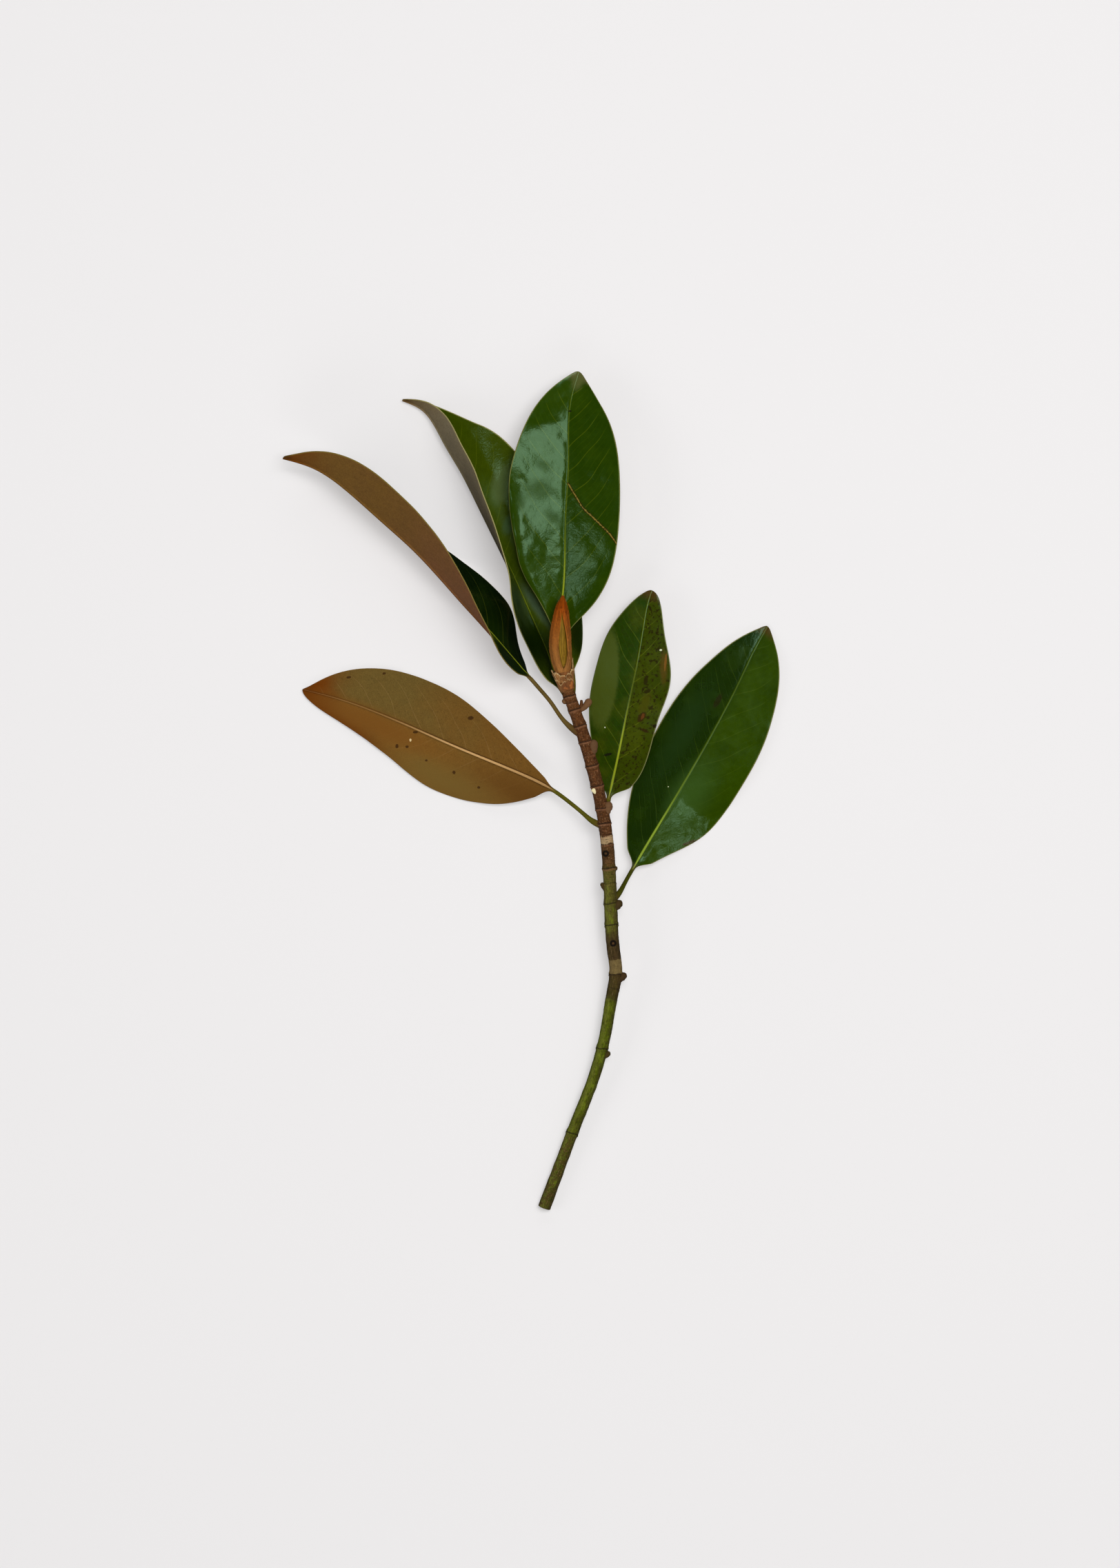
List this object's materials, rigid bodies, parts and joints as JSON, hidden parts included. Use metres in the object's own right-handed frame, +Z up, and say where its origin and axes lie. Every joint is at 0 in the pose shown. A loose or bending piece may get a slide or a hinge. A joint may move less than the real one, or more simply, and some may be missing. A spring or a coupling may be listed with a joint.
{
  "type": "magnolia leaf bunch",
  "caption": "Cut magnolia twig lying flat, with leathery leaves, glossy green above and brown below, on thin petioles, and a furry rust-orange bud at its tip.",
  "frame": {"origin": "on the surface that the bunch lies on, below the middle of its box", "axes": "+Y from the cut end of the twig towards the bud and the leaf tips, +X to the right seen from above, +Z up"},
  "size_m": [0.2722, 0.4608, 0.0567],
  "materials": {
    "bark": "dull bark, brown above and green below",
    "leaf_green": "waxy gloss",
    "leaf_felt": "matt brown felt below, waxy green above",
    "bud_fur": "short silky hairs",
    "bud_scale": "satin",
    "torn_scale": "dry and papery"
  },
  "bodies": {
    "root": {"twig": "bark", "leaf_crown": "leaf_green", "leaf_back": "leaf_green", "leaf_far_left": "leaf_felt", "leaf_low_left": "leaf_felt", "leaf_mid_right": "leaf_green", "leaf_low_right": "leaf_green", "bud_sheath": "bud_fur", "bud_heart": "bud_scale", "bud_collar": "torn_scale"}
  },
  "joints": []
}
